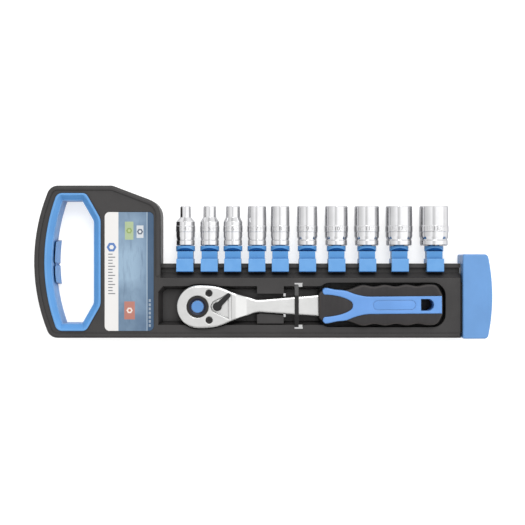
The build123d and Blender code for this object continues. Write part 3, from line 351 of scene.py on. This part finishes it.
BLACK_STEEL = moulded("black_steel", linear(28, 26, 26), linear(60, 58, 58), 0.42, 0.004 * MM)
ETCHED = moulded("etched_grey", linear(132, 132, 134), linear(150, 150, 152), 0.6, 0.004 * MM)
CHROME = metal(
    "chrome", scaled(linear(252, 252, 254), 1.06), 0.09, 0.0015 * MM, (1.0, 0.06, 1.0),
    Specular_Tint=(0.42, 0.42, 0.44, 1.0),
)
SATIN_STEEL = metal(
    "satin_steel", linear(246, 246, 245), 0.32, 0.004 * MM, (0.08, 1.0, 1.0), edge=1.0 * MM, polished=0.10
)
GEAR_STEEL = metal("gear_steel", linear(176, 176, 178), 0.30, 0.003 * MM, (1.0, 1.0, 0.1))
SPRING_STEEL = metal("spring_steel", linear(168, 168, 172), 0.28, 0.002 * MM, (1.0, 1.0, 1.0))


def collar_black():
    """Black oxide ring; the bevel round the button painted navy as the shade in its gap."""
    paint = Paint("collar_black", Metallic=0.3)
    low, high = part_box("gear_collar")
    x, y, _ = paint.place()
    across = paint.maths("SUBTRACT", x, (low.x + high.x) / 2)
    along = paint.maths("SUBTRACT", y, (low.y + high.y) / 2)
    squares = paint.maths("MULTIPLY_ADD", across, across, paint.maths("MULTIPLY", along, along))
    radius = paint.maths("SQRT", squares)
    soft, mask = paint.edges(0.2 * MM)
    # Painted shade: the ring round the button navy, for the shade in the gap.
    tone = paint.mix(paint.span(radius, 5.15 * MM, 5.3 * MM), linear(16, 26, 54), linear(44, 42, 41))
    tone = paint.mix(paint.maths("MULTIPLY", mask, 0.35), tone, linear(92, 90, 90))
    return paint.finish(tone, 0.4, paint.bump(paint.noise(0.25 * MM), 0.004 * MM, soft))


BY_SLOT = {
    "tray_black": TRAY_BLACK,
    "insert_blue": INSERT_BLUE,
    "clip_blue": clip_plastic(),
    "label_print": printed_card(),
    "chrome": CHROME,
    "satin_steel": SATIN_STEEL,
    "black_steel": BLACK_STEEL,
    "button_blue": BUTTON_BLUE,
    "lever_black": LEVER_BLACK,
    "gear_steel": GEAR_STEEL,
    "spring_steel": SPRING_STEEL,
    "grip_blue": GRIP_BLUE,
    "grip_black": GRIP_BLACK,
    "strap_black": STRAP_BLACK,
}
BY_NODE = {"end_cap": CAP_BLUE, "gear_collar": collar_black()}
SLOT_OF = {part["node"]: part["material_slot"] for part in frame["record"]["subparts"]}
BODY_OF = {node: body for body, group in frame["record"]["behaviour"]["bodies"].items() for node in group}


def dress(piece, material):
    """Gives a piece one material over its whole surface."""
    piece.data.materials.clear()
    piece.data.materials.append(material)


for name, slot in SLOT_OF.items():
    dress(nodes[name], BY_NODE.get(name, BY_SLOT[slot]))


# ---- Rounded copies of the moulded parts --------------------------------------------------------
WELD = 0.002 * MM
FLAT_ANGLE = math.radians(0.5)
SHARP_ANGLE = math.radians(35)
ROUND_SEGMENTS = 3


def rounded(name, width):
    """A copy of a CAD node with its sharp edges rounded, which stands for the node."""
    mesh = nodes[name].data.copy()
    work = bmesh.new()
    work.from_mesh(mesh)
    bmesh.ops.remove_doubles(work, verts=work.verts, dist=WELD)
    bmesh.ops.dissolve_limit(work, angle_limit=FLAT_ANGLE, verts=work.verts, edges=work.edges)
    for face in work.faces:
        face.smooth = True
    work.to_mesh(mesh)
    work.free()
    piece = bpy.data.objects.new(f"{name}_rounded", mesh)
    bpy.context.scene.collection.objects.link(piece)
    bevel = piece.modifiers.new("round", "BEVEL")
    bevel.width = width
    bevel.segments = ROUND_SEGMENTS
    bevel.limit_method = "ANGLE"
    bevel.angle_limit = SHARP_ANGLE
    bevel.use_clamp_overlap = True
    bevel.harden_normals = True
    apply_modifiers(piece)
    dress(piece, BY_NODE.get(name, BY_SLOT[SLOT_OF[name]]))
    adopt(piece, name)
    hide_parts(name)


def apply_modifiers(piece):
    """Makes a piece's mesh final, with none of its modifiers left."""
    evaluated = piece.evaluated_get(bpy.context.evaluated_depsgraph_get())
    final = bpy.data.meshes.new_from_object(evaluated)
    piece.modifiers.clear()
    piece.data = final


def adopt(piece, name):
    """Lets a piece ride with the CAD node it belongs to."""
    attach(piece, BODY_OF[name])


for name, width in (("grip_rubber", 1.3 * MM), ("grip_core", 0.5 * MM)):
    rounded(name, width)


# ---- Etched marks on the sockets ----------------------------------------------------------------
NUMERAL_SIZE = 3.6 * MM
MARK_THICK = 0.01 * MM
MARK_LIFT = 0.005 * MM
BAND_MIDDLE = 10.5 * MM
TICK_ROWS = (-1.25, -0.55, 0.2, 0.9, 1.45)
TICK_START, TICK_PITCH, TICK_STRAY = 2.3, 0.72, 0.35
TICK_WIDE = (0.16, 0.42)
TICK_TALL = (0.12, 0.36)
TICKS_A_SIDE = 5
TICK_GAPS = 0.35
chance = random.Random(11)


def wrapped(mesh, axis_x, axis_z, radius):
    """Bends a flat x-y mesh round a cylinder that lies along Y, keeping its height above the surface."""
    for vertex in mesh.vertices:
        turn = (vertex.co.x - axis_x) / radius
        out = radius + vertex.co.z
        vertex.co.x = axis_x + out * math.sin(turn)
        vertex.co.z = axis_z + out * math.cos(turn)


def numeral(text, size):
    """Flat numerals as a finely cut mesh, centred on the origin."""
    curve = bpy.data.curves.new("numeral", "FONT")
    curve.body = text
    curve.size = size
    curve.extrude = MARK_THICK
    curve.align_x = "CENTER"
    curve.align_y = "CENTER"
    holder = bpy.data.objects.new("numeral", curve)
    bpy.context.scene.collection.objects.link(holder)
    mesh = bpy.data.meshes.new_from_object(holder.evaluated_get(bpy.context.evaluated_depsgraph_get()))
    bpy.data.objects.remove(holder)
    return mesh


def etched_marks(name):
    """The size in numerals, with scattered short ticks each side, on the raised band of one socket."""
    low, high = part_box(name)
    axis_x, axis_z = (low.x + high.x) / 2, (low.z + high.z) / 2
    radius = (high.x - low.x) / 2 + MARK_LIFT
    band_y = low.y + BAND_MIDDLE
    size = name.split("_")[1].lstrip("0")[:-2]
    work = bmesh.new()
    work.from_mesh(numeral(size, NUMERAL_SIZE))
    for along in TICK_ROWS:
        for side in (-1, 1):
            for step in range(TICKS_A_SIDE):
                near = (TICK_START + TICK_PITCH * step + TICK_STRAY * chance.random()) * side * MM
                wide = chance.uniform(*TICK_WIDE) * MM
                tall = chance.uniform(*TICK_TALL) * MM
                if chance.random() < TICK_GAPS:
                    continue
                centre = Vector((near, along * MM, 0))
                corners = [(-wide, -tall), (wide, -tall), (wide, tall), (-wide, tall)]
                work.faces.new([work.verts.new(centre + Vector((x / 2, y / 2, MARK_THICK))) for x, y in corners])
    mesh = bpy.data.meshes.new(f"{name}_marks")
    work.to_mesh(mesh)
    work.free()
    mesh.transform(Matrix.Translation((axis_x, band_y, 0)))
    wrapped(mesh, axis_x, axis_z, radius)
    piece = bpy.data.objects.new(f"{name}_marks", mesh)
    bpy.context.scene.collection.objects.link(piece)
    dress(piece, ETCHED)
    adopt(piece, name)


for name in sorted(nodes):
    if name.startswith("socket_"):
        etched_marks(name)


# ---- Floor and light ----------------------------------------------------------------------------
FLOOR_REACH = 3.0
FLOOR_DROP = 0.05 * MM
FLOOR_GREY = 0.5
FLOOR_GLOW = 0.6
KEY = {"place": (0.1, 0.9, 1.3), "size": 0.8, "power": 14.0}
# Grey levels of the tent along X and Y, as (place from -1 to 1, level)
SIDE_STOPS = [
    (-1.0, 0.56), (-0.7, 0.72), (-0.4, 0.92), (-0.22, 0.58), (-0.02, 0.66), (0.2, 0.98), (0.9, 1.05), (1.0, 0.75)
]
NEAR_STOPS = [
    (-1.0, 1.0), (-0.96, 1.0), (-0.93, 0.05), (-0.74, 0.05), (-0.68, 1.0), (0.3, 1.0), (0.5, 0.8), (1.0, 0.8)
]


def add_floor():
    """A plain white floor that glows a little, a hair below the tray."""
    mesh = bpy.data.meshes.new("floor")
    reach = FLOOR_REACH
    corners = [(-reach, -reach), (reach, -reach), (reach, reach), (-reach, reach)]
    mesh.from_pydata([(x, y, -FLOOR_DROP) for x, y in corners], [], [(0, 1, 2, 3)])
    floor = bpy.data.objects.new("floor", mesh)
    bpy.context.scene.collection.objects.link(floor)
    grey, white = (FLOOR_GREY, FLOOR_GREY, FLOOR_GREY, 1.0), (1.0, 1.0, 1.0, 1.0)
    paint = Paint("floor", Base_Color=grey, Roughness=0.9, Emission_Color=white, Emission_Strength=FLOOR_GLOW)
    dress(floor, paint.material)


def add_area(name, place, size, power):
    """A soft square light aimed at the origin."""
    light = bpy.data.lights.new(name, "AREA")
    light.size = size
    light.energy = power
    lamp = bpy.data.objects.new(name, light)
    lamp.location = place
    lamp.rotation_euler = (-Vector(place)).to_track_quat("-Z", "Y").to_euler()
    bpy.context.scene.collection.objects.link(lamp)


def ramp_node(tree, value, stops):
    """Grey levels along a value from -1 to 1."""
    span = tree.nodes.new("ShaderNodeMapRange")
    span.inputs["From Min"].default_value = -1.0
    tree.links.new(value, span.inputs["Value"])
    ramp = tree.nodes.new("ShaderNodeValToRGB")
    tree.links.new(span.outputs[0], ramp.inputs[0])
    elements = ramp.color_ramp.elements
    while len(elements) < len(stops):
        elements.new(0.5)
    for element, (place, level) in zip(elements, stops):
        element.position = (place + 1) / 2
        element.color = (level, level, level, 1.0)
    return ramp.outputs[0]


def add_world():
    """A white tent: greyer towards the handle, a seam overhead, and a narrow dark flag on the near side."""
    world = bpy.data.worlds.new("tent")
    world.use_nodes = True
    tree = world.node_tree
    split = tree.nodes.new("ShaderNodeSeparateXYZ")
    tree.links.new(tree.nodes.new("ShaderNodeTexCoord").outputs["Generated"], split.inputs[0])
    product = tree.nodes.new("ShaderNodeMix")
    product.data_type = "RGBA"
    product.blend_type = "MULTIPLY"
    product.inputs["Factor"].default_value = 1.0
    tree.links.new(ramp_node(tree, split.outputs["X"], SIDE_STOPS), product.inputs[6])
    tree.links.new(ramp_node(tree, split.outputs["Y"], NEAR_STOPS), product.inputs[7])
    tree.links.new(product.outputs[2], tree.nodes["Background"].inputs["Color"])
    tree.nodes["Background"].inputs["Strength"].default_value = TENT
    bpy.context.scene.world = world


add_floor()
add_world()
add_area("key", **KEY)
bpy.context.scene.view_settings.view_transform = "Standard"
